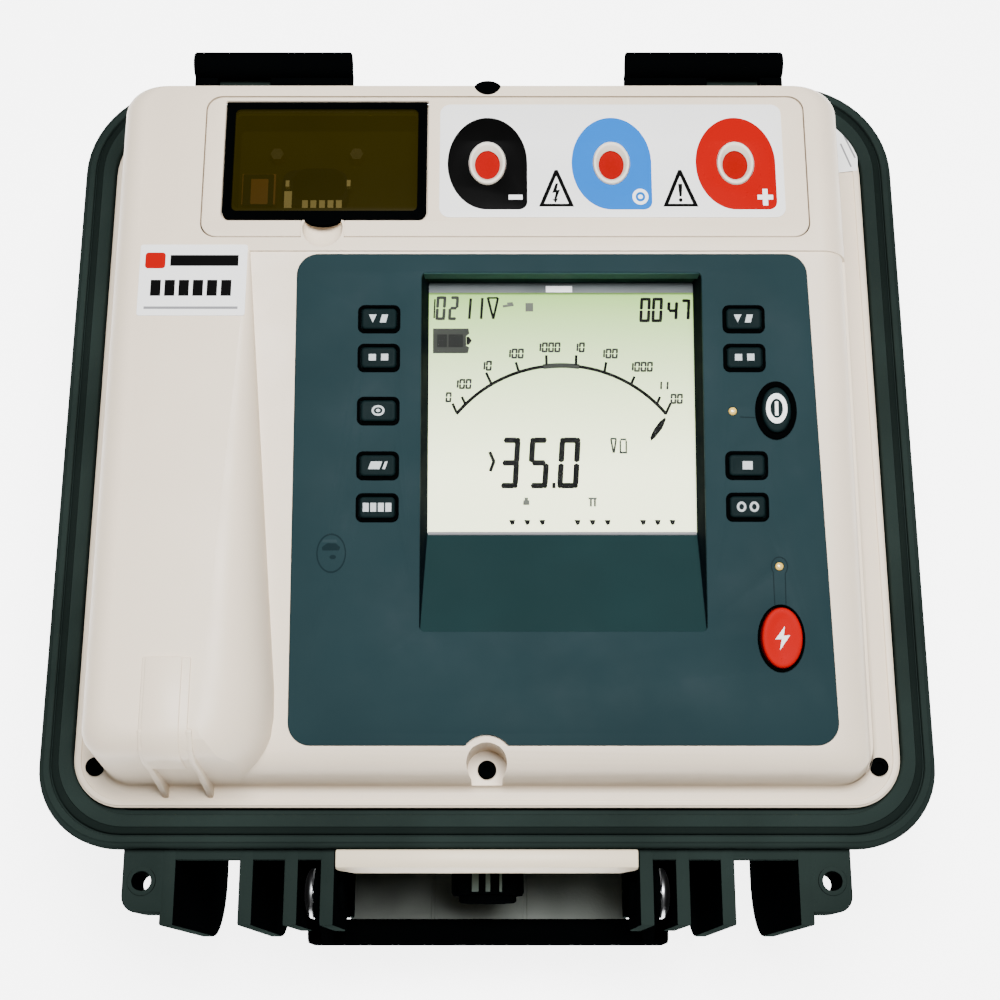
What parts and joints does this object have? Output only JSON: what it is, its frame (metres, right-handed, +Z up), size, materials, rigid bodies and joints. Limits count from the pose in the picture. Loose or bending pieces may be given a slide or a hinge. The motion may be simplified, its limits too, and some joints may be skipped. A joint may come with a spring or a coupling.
{
  "type": "insulation resistance tester",
  "caption": "Portable high-voltage insulation resistance tester: rugged floor case with a tilted control panel, display, push keys, shuttered terminals and a carry handle.",
  "frame": {"origin": "on the floor under the centre of the tester's outer box", "axes": "+X to the user's right, +Y away from the user towards the hinges, +Z up"},
  "size_m": [0.33, 0.3586, 0.1812],
  "materials": {
    "case_black": "textured moulded polypropylene",
    "seal_rubber": "matt",
    "panel_cream": "fine spark-eroded texture",
    "overlay_teal": "fine matt film",
    "surround_teal": "satin moulded",
    "black_plastic": "satin",
    "label_white": "printed film",
    "ring_white": "satin",
    "shutter_red": "satin",
    "test_red": "satin rubberised",
    "key_grey": "soft matt keypad",
    "led_amber": "translucent",
    "window_clear": "clear acrylic",
    "cover_smoked": "smoked polycarbonate",
    "lcd": "liquid crystal display",
    "backlight": "diffuser",
    "brass": "turned",
    "steel": "plated",
    "port_orange": "moulded",
    "board_green": "solder mask",
    "battery_wrap": "shrink film",
    "potting_grey": "cast resin",
    "supply_metal": "folded sheet",
    "lead_red": "silicone"
  },
  "bodies": {
    "tester": {"case_base": "case_black", "flange_seal": "seal_rubber", "hinge_knuckles": "case_black", "rubber_feet": "seal_rubber", "screw_inserts": "brass", "front_trim": "panel_cream", "valve_body": "black_plastic", "handle_pins": "steel", "panel_fascia": "panel_cream", "panel_screws": "black_plastic", "terminal_plate": "panel_cream", "terminal_label": "label_white", "socket_rings": "ring_white", "terminal_block": "potting_grey", "socket_contacts": "brass", "terminal_leads": "lead_red", "port_tray": "black_plastic", "data_port": "port_orange", "serial_port": "black_plastic", "port_jackscrews": "brass", "cover_pin": "steel", "name_label": "label_white", "control_overlay": "overlay_teal", "display_surround": "surround_teal", "display_window": "window_clear", "lcd_cell": "lcd", "lcd_backlight": "backlight", "key_bezels": "black_plastic", "power_bezel": "black_plastic", "test_bezel": "black_plastic", "status_leds": "led_amber", "control_board": "board_green", "key_switches": "black_plastic", "main_board": "board_green", "board_posts": "steel", "battery_pack": "battery_wrap", "battery_strap": "steel", "power_supply": "supply_metal", "hv_module": "potting_grey"},
    "valve": {"valve_knob": "black_plastic"},
    "handle": {"carry_handle": "case_black"},
    "port_cover": {"cover_frame": "black_plastic", "cover_window": "cover_smoked"},
    "shutter": {"terminal_shutter": "shutter_red"},
    "power_button": {"power_key": "black_plastic"},
    "test_start": {"test_button": "test_red"},
    "key_left_1_cap": {"key_left_1": "key_grey"},
    "key_left_2_cap": {"key_left_2": "key_grey"},
    "key_left_3_cap": {"key_left_3": "key_grey"},
    "key_left_4_cap": {"key_left_4": "key_grey"},
    "key_left_5_cap": {"key_left_5": "key_grey"},
    "key_right_1_cap": {"key_right_1": "key_grey"},
    "key_right_2_cap": {"key_right_2": "key_grey"},
    "key_right_3_cap": {"key_right_3": "key_grey"},
    "key_right_4_cap": {"key_right_4": "key_grey"}
  },
  "joints": [
    {"name": "key_left_1_press", "type": "slide", "parent": "tester", "child": "key_left_1_cap", "axis": [0, 0.1487, -0.9889], "range_m": [0, 0.0012], "stiffness_N_per_m": 300, "springref_m": -0.001},
    {"name": "key_left_2_press", "type": "slide", "parent": "tester", "child": "key_left_2_cap", "axis": [0, 0.1487, -0.9889], "range_m": [0, 0.0012], "stiffness_N_per_m": 300, "springref_m": -0.001},
    {"name": "key_left_3_press", "type": "slide", "parent": "tester", "child": "key_left_3_cap", "axis": [0, 0.1487, -0.9889], "range_m": [0, 0.0012], "stiffness_N_per_m": 300, "springref_m": -0.001},
    {"name": "key_left_4_press", "type": "slide", "parent": "tester", "child": "key_left_4_cap", "axis": [0, 0.1487, -0.9889], "range_m": [0, 0.0012], "stiffness_N_per_m": 300, "springref_m": -0.001},
    {"name": "key_left_5_press", "type": "slide", "parent": "tester", "child": "key_left_5_cap", "axis": [0, 0.1487, -0.9889], "range_m": [0, 0.0012], "stiffness_N_per_m": 300, "springref_m": -0.001},
    {"name": "key_right_1_press", "type": "slide", "parent": "tester", "child": "key_right_1_cap", "axis": [0, 0.1487, -0.9889], "range_m": [0, 0.0012], "stiffness_N_per_m": 300, "springref_m": -0.001},
    {"name": "key_right_2_press", "type": "slide", "parent": "tester", "child": "key_right_2_cap", "axis": [0, 0.1487, -0.9889], "range_m": [0, 0.0012], "stiffness_N_per_m": 300, "springref_m": -0.001},
    {"name": "key_right_3_press", "type": "slide", "parent": "tester", "child": "key_right_3_cap", "axis": [0, 0.1487, -0.9889], "range_m": [0, 0.0012], "stiffness_N_per_m": 300, "springref_m": -0.001},
    {"name": "key_right_4_press", "type": "slide", "parent": "tester", "child": "key_right_4_cap", "axis": [0, 0.1487, -0.9889], "range_m": [0, 0.0012], "stiffness_N_per_m": 300, "springref_m": -0.001},
    {"name": "power_press", "type": "slide", "parent": "tester", "child": "power_button", "axis": [0, 0.1487, -0.9889], "range_m": [0, 0.0012], "stiffness_N_per_m": 300, "springref_m": -0.001},
    {"name": "test_press", "type": "slide", "parent": "tester", "child": "test_start", "axis": [0, 0.1487, -0.9889], "range_m": [0, 0.0015], "stiffness_N_per_m": 400, "springref_m": -0.001},
    {"name": "handle_swing", "type": "hinge", "parent": "tester", "child": "handle", "pos_m": [0, -0.162, 0.107], "axis": [-1, 0, 0], "range_deg": [0, 110]},
    {"name": "cover_flip", "type": "hinge", "parent": "tester", "child": "port_cover", "pos_m": [-0.06105, 0.12735, 0.17925], "axis": [-1, 0, 0], "range_deg": [0, 100]},
    {"name": "shutter_slide", "type": "slide", "parent": "tester", "child": "shutter", "axis": [1, 0, 0], "range_m": [0, 0.012]},
    {"name": "valve_turn", "type": "hinge", "parent": "tester", "child": "valve", "pos_m": [0, -0.1565, 0.087], "axis": [0, -1, 0], "range_deg": [0, 180]}
  ]
}
